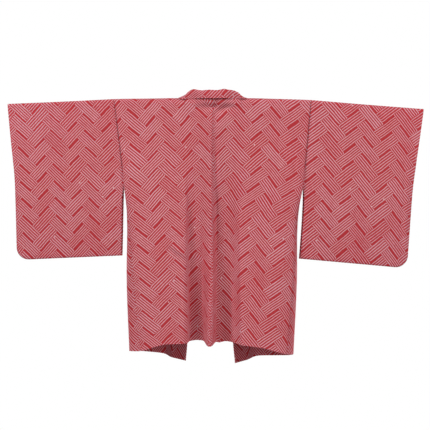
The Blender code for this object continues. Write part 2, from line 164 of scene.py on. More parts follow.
# Cells of the fine shells: across the neck, the shoulder, the gusset and the collar, and the
# rows down the body and the sleeve
NECK_CELLS = 48
SHOULDER_CELLS = 60
BEND_ROWS = 10
HANG_ROWS = 190
GUSSET_CELLS = 22
GUSSET_ROWS = 130
SLEEVE_BEND_ROWS = 7
SLEEVE_ROWS = 112
LOWER_CELLS = 72
CORNER_CELLS = 12
OUTER_CELLS = 30
COLLAR_COARSE_NECK = 8
COLLAR_INSIDE_STEP = 0.25
COLLAR_COARSE_BENDS = 4
COLLAR_COARSE_ROWS = 22
COLLAR_FLAT_CELLS = 3
COLLAR_ROLL_CELLS = 4
COLLAR_CELLS = 26
COLLAR_STEP = 4.5 * MM

# How strongly cells crowd together at both ends, or at one
CROWD_BOTH = 0.55
CROWD_ONE = 0.45

# Folds laid on the cloth, in mm: the ends of each, its half width, how far it stands out
# (or sinks in, below zero), and how far its middle bows sideways. One side of a fold is steeper
# by the skew, and its strength fades towards both ends.
Fold = namedtuple("Fold", "x_top z_top x_foot z_foot width depth bow", defaults=(0,))

FOLD_SKEW = 0.35
FOLD_FADE = 0.8

BACK_FOLDS = [Fold(*row) for row in (
    (-3, 60, -5, -440, 6, 3.8),
    (-6, -240, -12, -1250, 5, 2.0),
    (12, 60, 8, -520, 7, -6.2),
    (-106, -8, -96, -330, 6, -2.0),
    (104, -16, 112, -190, 5, 1.8),
    (-90, -330, -86, -1250, 8, 2.5),
    (38, -24, -12, -54, 5, 5.0),
    (56, -30, 4, -60, 6, -4.6),
    (-64, -36, 88, -36, 15, -12.0),
    (-146, -660, -151, -860, 8, -3.6),
    (-128, -700, -131, -860, 6, 2.6),
    (-140, -448, -78, -498, 7, 4.4, 2),
    (-138, -466, -78, -514, 7, -4.4, 2),
    (263, -120, 255, -262, 6, -2.0, 2),
    (-276, -170, -262, -330, 9, -1.8, 3),
    (-296, -70, -282, -260, 7, 1.6),
    (-196, -250, -176, -800, 24, 2.6, 8),
    (-236, -430, -214, -820, 14, -2.2, 5),
    (208, -230, 184, -800, 24, 2.4, -8),
    (249, -330, 222, -820, 11, -2.4, -4),
    (118, -420, 104, -800, 16, -1.6, 4),
    (-118, -560, -108, -800, 14, 1.8, -3),
    (-60, -300, -64, -560, 10, -1.2, 3),
    (150, -60, 120, -220, 20, -1.2, 6),
    (-150, -60, -120, -240, 22, -1.2, -6),
)]

# The deep folds beside the centre ridge: the sides of each at its top and at the hem, how wide
# the bend is at each side, and where it starts and is at its deepest. Sizes are in mm.
Trough = namedtuple("Trough", "low_top high_top low_hem high_hem low_bend high_bend start full")

HEM_LEVEL = -765

TROUGHS = {
    -1: Trough(-84, -36, -73, -24, 8, 16, -150, -480),
    1: Trough(12, 60, 5, 76, 12, 34, -120, -430),
}

# How much deeper, in mm, their floors lie than the frame's own folds at the five levels
TROUGH_FLOOR = {-1: (0, 6, 8, 3, -2), 1: (0, 9, 14, 7, -1)}

# How far the hem is drawn up beside the centre ridge, laid out like the folds
HEM_LIFTS = [Fold(*row) for row in (
    (-27, -560, -29, -1000, 9, 5.0),
    (11, -560, 12, -1000, 9, 5.0),
)]

FRONT_FOLDS = [Fold(*row) for row in (
    (-140, -60, -180, -330, 22, -1.8, 6),
    (-210, -250, -196, -830, 22, 2.6, 8),
    (-238, -420, -232, -830, 10, -2.2, 3),
    (-176, -520, -186, -830, 12, -2.0, 4),
    (140, -60, 178, -340, 22, -1.8, -6),
    (204, -260, 190, -840, 22, 2.6, -8),
    (234, -400, 226, -840, 10, -2.2, -3),
    (168, -540, 178, -840, 12, -2.0, -4),
    (262, -130, 254, -270, 7, -1.8, 2),
    (-262, -130, -258, -270, 7, -1.8, 2),
)]

SLEEVE_FOLDS = [Fold(*row) for row in (
    (-330, -70, -420, -300, 16, -1.4, 10),
    (-470, -90, -500, -480, 30, 1.8, 12),
    (-560, -120, -575, -470, 18, -1.5, 8),
    (-330, -330, -312, -500, 11, 1.8, 3),
    (-395, -300, -385, -520, 20, -1.4, 4),
    (340, -60, 420, -260, 18, -1.6, -10),
    (470, -110, 500, -500, 30, 1.8, -12),
    (575, -90, 582, -480, 18, -1.6, -8),
    (316, -330, 300, -510, 11, 1.8, -3),
    (400, -300, 388, -530, 20, -1.4, -4),
    (398, -18, 432, -135, 14, -3.2),
    (512, -12, 542, -95, 10, -3.0),
    (608, -40, 626, -135, 9, -2.0),
    (617, -80, 598, -520, 5, -1.8),
    (606, -110, 588, -500, 5, 1.1),
    (-352, -24, -330, -120, 9, -2.0),
)]

# How much shorter the back layer of a sleeve is at its open inner edge, how fast that and the
# edge's own bow die out across the sleeve, and the fades at the foot of the armhole and the cuff
BACK_EDGE_SHORT = 3.5 * MM
BACK_EDGE_POWER = 12
EDGE_BOW_POWER = 3
ARMHOLE_FADE = 40 * MM
SLEEVE_FLAT_EDGE = 30 * MM

# Low swells of each panel: height in mm, then the waves along x and z per metre, and the phase
Swell = namedtuple("Swell", "height x_waves z_waves phase")

SWELLS = (
    Swell(0.55, 9.1, 2.3, 0.4),
    Swell(0.45, 14.7, -3.9, 2.1),
    Swell(0.35, -6.3, 7.7, 4.4),
    Swell(0.25, 21.3, 9.1, 1.3),
)

# The collar's, by the lengths along it and across it
COLLAR_SWELLS = (Swell(0.3, 37, 60, 0.0), Swell(0.25, 71, 0, -1.0))

# How far the cloth sinks at each seam, and the small puckers beside it. A back's side dips as its
# armhole does down to the armpit, and from there as its gusset seam does.
SEAM_DIP = 0.8 * MM
CENTRE_SEAM_DIP = 0.25 * MM
ARMHOLE_DIP = 1.9 * MM
GUSSET_DIP = {-1: 0.4 * MM, 1: 1.3 * MM}
DIP_CHANGE_END = ARMHOLE_DEPTH + 10 * MM
DIP_CHANGE = 50 * MM
SEAM_REACH = 4.0 * MM
PUCKER = 0.12 * MM
PUCKER_REACH = 12 * MM
PUCKER_WAVES = 62
PUCKER_DRIFT = 2.2
PUCKER_DRIFT_WAVES = 23
FRONT_PUCKER_START = 10 * MM
GUSSET_PUCKER_START = 20 * MM
FLAT_BESIDE_SEAM = 25 * MM
FLAT_BESIDE_NECK = 9 * MM

# How far a gusset sinks in between its seams
GUSSET_SINK = 1.6 * MM
GUSSET_SINK_WAVES = 9

# How far down a front is drawn to its back's top row, and the row of the back from which the
# lengths of cloth down its columns are counted
FRONT_JOIN = 90 * MM
LEVEL_ROW = 60

# How far a rim bulges out past a wall's edges, and how far an edge is set back from its seam
RIM_BULGE = 0.4 * MM
SET_BACK = 0.34 * MM

# Where the side seam lies on the bolt, in metres from the centre seam, at the five levels
CLOTH_WIDTHS = (0.304, 0.292, 0.290, 0.288, 0.286)

# The herringbone: the width of one group of bars
BAR_GROUP = 37.5 * MM
BARS_PER_GROUP = 6

# How each piece lies on the bolt of cloth. u runs across the bolt and v down it, in metres, both
# from the piece's middle. The terms are a start, the shares of u and v (how wide and how long the
# weave hangs, and how far it leans), and the shares of u*v, v*v and u*u (how it bows).
Laid = namedtuple("Laid", "middle_u middle_v u_terms v_terms")

LAID = {
    "body_left": Laid(-0.149, 0.368, (0.0008, -0.0485, 0.0, -0.081, 0.008, -0.023),
                      (0.0116, 0.060, 0.019, 0.066, 0.072, 0.059)),
    "body_right": Laid(0.149, 0.377, (0.0879, -0.0541, 0.030, 0.014, 0.017, -0.023),
                       (0.0209, -0.155, -0.006, -0.120, 0.045, -0.079)),
    "sleeve_left": Laid(-0.472, 0.244, (0.0392, 0.0075, 0.019, 0.031, 0.097, -0.064),
                        (0.0453, -0.039, -0.005, 0.107, 0.003, -0.077)),
    "sleeve_right": Laid(0.481, 0.249, (0.1053, -0.0391, -0.003, 0.061, -0.047, 0.131),
                         (0.0352, -0.091, -0.033, -0.067, -0.022, -0.124)),
    "gusset_left": Laid(0.0, 0.0, (0.01,), (0.02,)),
    "gusset_right": Laid(0.0, 0.0, (0.03,), (0.0,)),
    "collar": Laid(0.0, 0.0, (0.0325,), (0.0,)),
}

# How far the sleeves' columns lean inwards on the way down, as a share of the drop
SLEEVE_LEAN = {-1: 0.078, 1: 0.088}

# Each piece as it is cut, in metres, and its area where that isn't a rectangle
Cut = namedtuple("Cut", "width length area")


def hermite(knots, values, where):
    """Points of a smooth curve through the given values."""
    knots = np.asarray(knots, float)
    values = np.asarray(values, float)
    where = np.asarray(where, float)
    slopes = np.gradient(values, knots, axis=0)
    index = np.clip(np.searchsorted(knots, where) - 1, 0, len(knots) - 2)
    span = knots[index + 1] - knots[index]
    s = (where - knots[index]) / span
    weights = [(1 + 2 * s) * (1 - s) ** 2, s * s * (3 - 2 * s), s * (1 - s) ** 2 * span,
               s * s * (s - 1) * span]
    if values.ndim > 1:
        extra = (1,) * (values.ndim - 1)
        weights = [weight.reshape(weight.shape + extra) for weight in weights]
    return (weights[0] * values[index] + weights[1] * values[index + 1]
            + weights[2] * slopes[index] + weights[3] * slopes[index + 1])


def unit(vectors):
    """The vectors at length one."""
    return vectors / np.maximum(np.linalg.norm(vectors, axis=-1, keepdims=True), 1e-12)


def run_lengths(points, axis):
    """Length of cloth from the first point along one axis of a grid."""
    steps = np.linalg.norm(np.diff(points, axis=axis), axis=-1)
    zero = np.zeros_like(np.take(steps, [0], axis=axis))
    return np.concatenate([zero, np.cumsum(steps, axis=axis)], axis=axis)


def line_points(line, shares):
    """Points of a line at shares of the body's length."""
    shares = np.asarray(shares, float)
    spots = hermite(LEVELS, np.array([line.x, line.y], float).T, shares)
    height = line.z_top + (line.z_hem - line.z_top) * shares
    return np.concatenate([spots, height[..., None]], axis=-1) * MM


@lru_cache(maxsize=None)
def section_curve(side, share):
    """Knots and points of the curve round half of the body at one level."""
    centre = line_points(CENTRE_SEAM, share)
    points = [line_points(BODY_LINES[side][name], share) for name in SECTION_ORDER]
    mirrored = points[0].copy()
    mirrored[0] = 2 * centre[0] - points[0][0]
    points = np.array([mirrored, centre] + points)
    return run_lengths(points[:, :2], 0), points


def section_points(side, share, places):
    """Points of the body's section. Places count the lines, from 0 at the centre seam."""
    knots, points = section_curve(side, share)
    places = np.asarray(places, float)
    whole = np.minimum(places.astype(int), len(SECTION_ORDER) - 1)
    where = knots[whole + 1] + (places - whole) * (knots[whole + 2] - knots[whole + 1])
    return hermite(knots, points, where)


def place_of(name):
    """Place in the section of a named line."""
    return SECTION_ORDER.index(name) + 1


def body_rows(bends, hangs):
    """Rows down from the shoulder: the angle round its fold, and the share of the rest below."""
    turns = [(0.5 * math.pi * i / bends, 0.0) for i in range(bends + 1)]
    return turns + [(0.5 * math.pi, (i + 1) / hangs) for i in range(hangs)]


def hung_points(side, places, row):
    """Points of a body panel in one row, before the shoulder is rounded."""
    bend, hang = row
    share = ROUND_SHARE * (1 - math.cos(bend)) + (1 - ROUND_SHARE) * hang
    top = section_points(side, 0.0, places)
    length = top[:, 2] - section_points(side, 1.0, places)[:, 2]
    radius = np.minimum(np.abs(top[:, 1]), ROUND_SHARE * length)
    points = section_points(side, share, places)
    points[:, 2] = top[:, 2] - radius * (1 - math.cos(bend)) - (length - radius) * hang
    return points


def back_points(side, places, row):
    """Points of the back in one row, drawn in to the neckline near the centre."""
    bend, hang = row
    places = np.asarray(places, float)
    neck = place_of("fold_edge")
    turn = 0.5 * math.pi * np.minimum(places, neck) / neck
    points = hung_points(side, places, row)
    top_x = section_points(side, 0.0, places)[:, 0]
    centre_x = section_points(side, 0.0, [0])[0, 0]
    edge_x = section_points(side, 0.0, [neck])[0, 0]
    easing = max(0.0, 1 - hang / NECK_REACH) ** 2
    neck_x = centre_x + (edge_x - centre_x) * np.sin(turn)
    points[:, 0] += np.where(places < neck, (neck_x - top_x) * easing, 0.0)
    points[:, 1] *= math.sin(bend) + (1 - math.sin(bend)) * np.cos(turn)
    return points


def front_points(side, places, row):
    """Points of the front in one row."""
    points = hung_points(side, places, row)
    points[:, 1] *= math.sin(row[0])
    return points


def crowded(count, start, end):
    """Shares from 0 to 1, closer together at the start, at the end, or at both."""
    even = np.linspace(0.0, 1.0, count + 1)
    if start and end:
        return even - CROWD_BOTH * np.sin(2 * math.pi * even) / (2 * math.pi)
    bend = CROWD_ONE * np.sin(math.pi * even) / math.pi
    return even - bend if start else even + bend if end else even


def relief(points, folds, swells=SWELLS):
    """How far the folds and swells of a table push the cloth out at each point."""
    x = points[..., 0]
    z = points[..., 2]
    push = np.zeros(x.shape)
    for fold in folds:
        top = np.array([fold.x_top, fold.z_top]) * MM
        way = np.array([fold.x_foot, fold.z_foot]) * MM - top
        length = np.hypot(*way)
        way = way / length
        along = ((x - top[0]) * way[0] + (z - top[1]) * way[1]) / length
        across = (x - top[0]) * way[1] - (z - top[1]) * way[0]
        inside = np.clip(along, 0.0, 1.0)
        across = across - fold.bow * MM * np.sin(math.pi * inside)
        width = fold.width * MM * (1 + FOLD_SKEW * np.tanh(across / (fold.width * MM)))
        fade = np.sin(math.pi * inside) ** FOLD_FADE
        push += fold.depth * MM * fade * np.exp(-(across / width) ** 2)
    for swell in swells:
        push += swell.height * MM * np.sin(swell.x_waves * x + swell.z_waves * z + swell.phase)
    return push


def eased(value):
    """0 below 0, 1 above 1 and smooth between."""
    value = np.clip(value, 0.0, 1.0)
    return value * value * (3 - 2 * value)


def trough_share(points, trough):
    """How far each point belongs to a trough's floor, from 0 to 1."""
    x = points[..., 0] / MM
    z = points[..., 2] / MM
    down = z / HEM_LEVEL
    low = trough.low_top + (trough.low_hem - trough.low_top) * down
    high = trough.high_top + (trough.high_hem - trough.high_top) * down
    inside = eased((x - low) / trough.low_bend + 0.5) * eased((high - x) / trough.high_bend + 0.5)
    return inside * eased((trough.start - z) / (trough.start - trough.full))


def seam_relief(distance, along, depth=SEAM_DIP):
    """The dip at a seam and its puckers, by the distance from it and the length along it."""
    drift = PUCKER_DRIFT * np.sin(PUCKER_DRIFT_WAVES * along)
    waves = np.sin(2 * math.pi * PUCKER_WAVES * along + drift)
    dip = -depth * np.exp(-(distance / SEAM_REACH) ** 2)
    return dip + PUCKER * waves * np.exp(-(distance / PUCKER_REACH) ** 2)


def grid_quads(rows, columns, flip):
    """Four-sided faces of a grid of points."""
    ids = np.arange(rows * columns).reshape(rows, columns)
    quads = np.stack([ids[:-1, :-1], ids[:-1, 1:], ids[1:, 1:], ids[1:, :-1]], axis=-1)
    quads = quads.reshape(-1, 4)
    return quads[:, ::-1] if flip else quads


def point_normals(points, quads):
    """Normals of the points of a mesh."""
    corners = points[quads]
    faces = np.cross(corners[:, 2] - corners[:, 0], corners[:, 3] - corners[:, 1])
    normals = np.zeros(points.shape)
    for corner in range(4):
        np.add.at(normals, quads[:, corner], faces)
    return unit(normals)


def rim_edges(quads):
    """Edges that belong to one face only, each in its face's direction."""
    edges = np.concatenate([quads[:, [i, (i + 1) % 4]] for i in range(4)])
    ordered = np.sort(edges, axis=1)
    keys = ordered[:, 0] * (int(ordered.max()) + 1) + ordered[:, 1]
    _, first, counts = np.unique(keys, return_index=True, return_counts=True)
    return edges[first[counts == 1]]


def cloth_piece(name, look, points, weave, push, wall, flip):
    """A thin wall with rounded edges on a grid of points. Cells with a missing point stay open."""
    quads = grid_quads(points.shape[0], points.shape[1], flip)
    points = points.reshape(-1, 3)
    missing = np.isnan(points).any(axis=1)
    quads = quads[~missing[quads].any(axis=1)]
    used, quads = np.unique(quads, return_inverse=True)
    quads = quads.reshape(-1, 4)
    points = points[used]
    weave = weave.reshape(-1, 2)[used]
    points = points + point_normals(points, quads) * push.reshape(-1)[used][:, None]
    normals = point_normals(points, quads)
    rim = rim_edges(quads)
    edge_ids = np.unique(rim)
    outwards = np.zeros(points.shape)
    sideways = np.cross(points[rim[:, 1]] - points[rim[:, 0]], normals[rim[:, 0]])
    np.add.at(outwards, rim[:, 0], unit(sideways))
    np.add.at(outwards, rim[:, 1], unit(sideways))
    outwards = unit(outwards)[edge_ids]
    count = len(points)
    edge_points = points[edge_ids] + outwards * RIM_BULGE
    rank = np.zeros(count, int)
    rank[edge_ids] = np.arange(len(edge_ids)) + 2 * count
    vertices = np.concatenate([points + normals * 0.5 * wall, points - normals * 0.5 * wall,
                               edge_points])
    a, b = rim[:, 0], rim[:, 1]
    faces = np.concatenate([
        quads,
        quads[:, ::-1] + count,
        np.stack([b, a, rank[a], rank[b]], axis=1),
        np.stack([rank[b], rank[a], a + count, b + count], axis=1),
    ])
    weaves = np.concatenate([weave, weave, weave[edge_ids]])
    mesh = bpy.data.meshes.new(name)
    mesh.from_pydata(vertices, [], faces)
    # The wall's two edges are shaded sharp, so that its faces look flat right up to a seam
    ends = np.zeros(2 * len(mesh.edges), np.int32)
    mesh.edges.foreach_get("vertices", ends)
    ends = ends.reshape(-1, 2)
    pairs = {tuple(sorted(pair)) for pair in rim.tolist()}
    pairs |= {(low + count, high + count) for low, high in pairs}
    sharp = [tuple(sorted(pair)) in pairs for pair in ends.tolist()]
    mesh.attributes.new("sharp_edge", "BOOLEAN", "EDGE").data.foreach_set("value", sharp)
    layer = mesh.uv_layers.new(name="weave")
    layer.data.foreach_set("uv", weaves[faces.ravel()].astype(np.float32).ravel())
    mesh.shade_smooth()
    mesh.materials.append(look)
    return bpy.data.objects.new(name + "_cloth", mesh)


def set_back(points):
    """Moves a grid's edge columns in, so that the rounded edges of two pieces just meet."""
    for column, inner in ((0, 1), (-1, -2)):
        points[:, column] += unit(points[:, inner] - points[:, column]) * SET_BACK


def pushed(points, push, flip):
    """A grid of points moved out along its normals."""
    rows, columns = push.shape
    flat = points.reshape(-1, 3)
    normals = point_normals(flat, grid_quads(rows, columns, flip))
    return (flat + normals * push.reshape(-1, 1)).reshape(points.shape)


def laid_weave(name, across, down):
    """Places on the bolt of cloth for a piece's own lengths across and down."""
    laid = LAID[name]
    u = across - laid.middle_u
    v = down - laid.middle_v
    terms = np.stack([np.ones_like(u), u, v, u * v, v * v, u * u], axis=-1)
    moves = [terms[..., :len(shares)] @ np.array(shares) for shares in (laid.u_terms, laid.v_terms)]
    return np.stack([u + moves[0], v + moves[1]], axis=-1)


def joined(back, front, blank):
    """The back's rows from the hem up, then the front's down, with blanks beside the front."""
    beside = np.full((len(front) - 1, NECK_CELLS) + back.shape[2:], blank)
    return np.concatenate([back[::-1], np.concatenate([beside, front[1:]], axis=1)])


def body_panel(name, side):
    """One body panel: its back and its front in one piece, over the shoulder."""
    rows = body_rows(BEND_ROWS, HANG_ROWS)
    neck = place_of("fold_edge")
    neck_places = neck * crowded(NECK_CELLS, True, False)
    shares = crowded(SHOULDER_CELLS, True, True)
    back_places = np.concatenate([neck_places[:-1], neck + shares * (place_of("back_seam") - neck)])
    collar_place = place_of("collar_seam")
    front_places = collar_place - shares * (collar_place - place_of("front_seam"))
    back = np.array([back_points(side, back_places, row) for row in rows])
    front = np.array([front_points(side, front_places, row) for row in rows])
    drops = run_lengths(front, 0)
    easing = np.clip(1 - drops / FRONT_JOIN, 0.0, 1.0) ** 2
    front += (back[0, NECK_CELLS:] - front[0])[None] * easing[..., None]

    valley = place_of("valley")
    floor_y = np.array([back_points(side, [valley], row)[0, 1] for row in rows])[:, None]
    levels = np.linspace(0.0, 1.0, len(rows))
    floor_y += hermite(LEVELS, TROUGH_FLOOR[side], levels)[:, None] * MM
    for trough in TROUGHS.values():
        back[..., 1] += trough_share(back, trough) * np.maximum(floor_y - back[..., 1], 0.0)

    across_back = run_lengths(back, 1)
    beside_back = across_back[:, -1:] - across_back
    across_front = run_lengths(front[:, ::-1], 1)[:, ::-1]
    down_back = run_lengths(back, 0)
    down_back += (down_back[LEVEL_ROW, -1] - down_back[LEVEL_ROW])[None]
    down_front = run_lengths(front, 0)

    push_back = relief(back, BACK_FOLDS) * eased(beside_back / FLAT_BESIDE_SEAM)
    push_back += seam_relief(across_back, down_back, CENTRE_SEAM_DIP)
    beside_sleeve = eased((DIP_CHANGE_END - down_back) / DIP_CHANGE)
    side_dip = GUSSET_DIP[side] + (ARMHOLE_DIP - GUSSET_DIP[side]) * beside_sleeve
    push_back += seam_relief(beside_back, down_back, side_dip)
    beside_collar = run_lengths(front, 1)
    push_front = relief(front, FRONT_FOLDS) * eased(across_front / FLAT_BESIDE_SEAM)
    push_front *= eased(beside_collar / FLAT_BESIDE_SEAM)
    push_front += seam_relief(across_front, down_front + FRONT_PUCKER_START)
    push_back *= eased(down_back / FLAT_BESIDE_NECK)
    push_front *= eased(down_front / FLAT_BESIDE_SEAM)
    back[..., 2] += relief(back, HEM_LIFTS, ())
    cloth_back = run_lengths(pushed(back, push_back, side > 0), 1)
    set_back(back)
    set_back(front)

    widths = hermite(LEVELS, CLOTH_WIDTHS, levels)[:, None]
    u_back = side * (widths - cloth_back[:, -1:] + cloth_back)
    u_front = side * (widths - across_front)
    top_u = u_back[0, NECK_CELLS:]
    u_front += (top_u - u_front[0])[None] * easing
    weave_front = laid_weave(name, u_front, -down_front)
    weave = joined(laid_weave(name, u_back, down_back), weave_front, 0.0)
    push = joined(push_back, push_front, 0.0)
    return joined(back, front, np.nan), weave, push, CLOTH_WALL, side < 0


def gusset(name, side):
    """The strip between a back and a front, from the armpit to the hem."""
    length = -BODY_LINES[side]["outermost"].z_hem * MM
    start = GUSSET_START / length
    shares = start + (1 - start) * np.linspace(0.0, 1.0, GUSSET_ROWS + 1)
    first = place_of("back_seam")
    places = first + (place_of("front_seam") - first) * crowded(GUSSET_CELLS, True, True)
    points = np.array([section_points(side, float(share), places) for share in shares])
    across = run_lengths(points, 1)
    beside = across[:, -1:] - across
    down = run_lengths(points, 0)
    push = seam_relief(across, down) + seam_relief(beside, down + GUSSET_PUCKER_START)
    width = across[:, -1:]
    sunk = 0.5 + 0.5 * np.sin(GUSSET_SINK_WAVES * down)
    push -= GUSSET_SINK * np.sin(math.pi * across / width) ** 2 * sunk
    set_back(points)
    weave = laid_weave(name, side * (across - 0.5 * width), down)
    return points, weave, push, CLOTH_WALL, side > 0


def sleeve_foot(side):
    """Points where a sleeve's two layers join: along the foot, round the corner, up to the cuff."""
    cuff, corner, inner = SLEEVES[side][1:]
    foot_end = corner + unit(inner - corner) * SLEEVE_CORNER
    side_end = corner + unit(cuff - corner) * SLEEVE_CORNER
    lower = crowded(LOWER_CELLS, True, False)[:-1, None]
    points = [inner + (foot_end - inner) * lower]
    turn = 0.5 * math.pi * np.arange(CORNER_CELLS)[:, None] / CORNER_CELLS
    points.append(corner + (1 - np.sin(turn)) * (foot_end - corner)
                  + (1 - np.cos(turn)) * (side_end - corner))
    outer = crowded(OUTER_CELLS, False, True)[:, None]
    points.append(side_end + (cuff - side_end) * outer)
    return np.concatenate(points)


def armhole_points(side, half, drops):
    """Points of the armhole seam on the back or the front, at drops below the shoulder."""
    line = BODY_LINES[side]["back_seam" if half < 0 else "front_seam"]
    length = (line.z_top - line.z_hem) * MM
    radius = abs(line.y[0]) * MM
    drops = np.asarray(drops, float)
    hang = (drops - radius) / (length - radius)
    below = ROUND_SHARE + (1 - ROUND_SHARE) * hang
    return line_points(line, np.where(drops < radius, ROUND_SHARE * drops / radius, below))


def inner_edge_x(side, half, drops):
    """Where a sleeve's inner edge lies: along the armhole, then free down to the sleeve's foot."""
    foot_x, foot_z = SLEEVES[side].inner
    end = armhole_points(side, half, ARMHOLE_DEPTH)[0]
    below = (drops - ARMHOLE_DEPTH) / (-foot_z - ARMHOLE_DEPTH)
    below = np.clip(below, 0.0, None)
    swing = side * SLEEVE_SWING * np.sin(math.pi * np.sqrt(np.minimum(1.0, below)))
    free = end + (foot_x - end) * below ** SLEEVE_EDGE_CURVE + swing
    sewn = armhole_points(side, half, np.minimum(drops, ARMHOLE_DEPTH))[..., 0]
    return np.where(drops <= ARMHOLE_DEPTH, sewn, free)


def sleeve_layer_rows():
    """Places down one layer: round the top fold, down the cloth, and round the foot."""
    top = [("top", 0.5 * math.pi * i / SLEEVE_BEND_ROWS) for i in range(SLEEVE_BEND_ROWS)]
    middle = [("middle", i / SLEEVE_ROWS) for i in range(SLEEVE_ROWS + 1)]
    bottom = [("bottom", angle) for angle in SLEEVE_FOOT_ANGLES]
    return top + middle + bottom


def sleeve_row(side, half, heads, feet, ring, row):
    """Points of one layer of a sleeve in one row, from the armhole to the cuff."""
    kind, value = row
    length = np.linalg.norm(feet - heads, axis=1)
    if kind == "top":
        run = SLEEVE_TOP_ROUND * (1 - math.cos(value))
        depth = SLEEVE_TOP_ROUND * math.sin(value)
    elif kind == "bottom":
        run = length - SLEEVE_FOOT_ROUND * (1 - math.cos(value))
        depth = SLEEVE_FOOT_ROUND * math.sin(value)
    else:
        run = SLEEVE_TOP_ROUND + (length - SLEEVE_TOP_ROUND - SLEEVE_FOOT_ROUND) * value
        ends = SLEEVE_TOP_ROUND + (SLEEVE_FOOT_ROUND - SLEEVE_TOP_ROUND) * value
        depth = ends + (SLEEVE_HOLLOW - ends) * math.sin(math.pi * value) ** SLEEVE_BULGE
    flat = heads + (feet - heads) * (run / length)[:, None]
    drops = heads[:, 1] - flat[:, 1]
    seam_top = armhole_points(side, half, 0.0)
    foot_x, foot_z = SLEEVES[side].inner
    straight = seam_top[0] + (foot_x - seam_top[0]) * drops / (seam_top[2] - foot_z)
    bow = inner_edge_x(side, half, drops) - straight
    flat[:, 0] += bow * (1 - ring) ** EDGE_BOW_POWER + side * SEAM_GAP * (1 - ring)
    if half < 0:
        open_edge = eased((drops - ARMHOLE_DEPTH) / ARMHOLE_FADE)
        flat[:, 0] += side * BACK_EDGE_SHORT * open_edge * (1 - ring) ** BACK_EDGE_POWER
    if kind == "middle":
        seam_depth = np.abs(armhole_points(side, half, np.minimum(drops, ARMHOLE_DEPTH))[:, 1])
        share = np.clip(1 - ring / SLEEVE_EDGE_SHARE, 0.0, 1.0)
        sewn = np.clip((ARMHOLE_DEPTH + 0.5 * ARMHOLE_FADE - drops) / ARMHOLE_FADE, 0.0, 1.0)
        depth = depth + (seam_depth - depth) * share * sewn
    return np.stack([flat[:, 0], half * depth + 0 * drops, flat[:, 1]], axis=1), drops


def sleeve_piece(name, side):
    """A sleeve: one cloth over its top fold, sewn at the foot, open at its inner edge and cuff."""
    rows = sleeve_layer_rows()
    feet = sleeve_foot(side)
    runs = run_lengths(feet, 0)
    ring = runs / runs[-1]
    seam_top = armhole_points(side, -1, 0.0)[[0, 2]]
    heads = seam_top + (SLEEVES[side].top - seam_top) * ring[:, None]
    heads[:, 1] -= SLEEVE_TOP_SAG * np.sin(math.pi * ring)
    order = [(-1, row) for row in rows[::-1]] + [(1, row) for row in rows[1:]]
    made = [sleeve_row(side, half, heads, feet, ring, row) for half, row in order]
    points = np.array([item[0] for item in made]).transpose(1, 0, 2)
    drops = np.array([item[1] for item in made]).T
    halves = np.array([half for half, _ in order])
    weave = laid_weave(name, points[..., 0] + side * SLEEVE_LEAN[side] * drops, -halves * drops)
    edge = run_lengths(points, 0)
    sewn = (drops < ARMHOLE_DEPTH).astype(float)
    push = relief(points, SLEEVE_FOLDS) * (1 - sewn * (1 - eased(edge / FLAT_BESIDE_SEAM)))
    push += seam_relief(edge, drops, ARMHOLE_DIP) * sewn
    from_foot = run_lengths(points, 1)
    to_foot = from_foot[:, -1:] - from_foot
    nearest = np.minimum(np.minimum(from_foot, to_foot), drops)
    push *= np.clip(nearest / SLEEVE_FLAT_EDGE, 0.0, 1.0)
    return points, weave, push, CLOTH_WALL, side < 0


def collar_seam(side):
    """The seam that carries the collar, from the centre back down to the hem, and beside each of
    its points the nearest point of the body panel inside it."""
    rows = body_rows(COLLAR_COARSE_BENDS, COLLAR_COARSE_ROWS)
    neck = place_of("fold_edge")
    places = neck * np.arange(COLLAR_COARSE_NECK) / COLLAR_COARSE_NECK
    back = back_points(side, places, rows[0])
    below = back_points(side, places, rows[1])
    seam = place_of("collar_seam")
    front = [front_points(side, [seam, seam - COLLAR_INSIDE_STEP], row) for row in rows]
    path = np.concatenate([back, [pair[0] for pair in front]])
    inside = np.concatenate([below, [pair[1] for pair in front]])
    return path, inside


def collar_sections(side):
    """Sections of the collar from the centre back down one front, and their distances."""
    path, inside = collar_seam(side)
    distance = run_lengths(path, 0)
    along = unit(np.gradient(path, distance, axis=0))
    table = np.array(COLLAR_STANDS, float)
    stands = [Stand(*row) for row in hermite(table[:, 0] * MM, table, distance)]
    lines = BODY_LINES[side]
    sections = []
    for spot, body, way_along, stand in zip(path, inside, along, stands):
        share = min(1.0, max(0.0, spot[2] / (lines["collar_seam"].z_hem * MM)))
        level = line_points(lines["front_edge"], share) - line_points(lines["collar_seam"], share)
        level[2] = 0.0
        own = np.array([-side * stand.inward, stand.forward, stand.up])
        way = unit(own) * (1 - stand.level) + unit(level) * stand.level
        way = unit(way - way_along * np.dot(way, way_along))
        sections.append(collar_section(spot, body, way, way_along, side, stand))
    return np.array(sections), distance


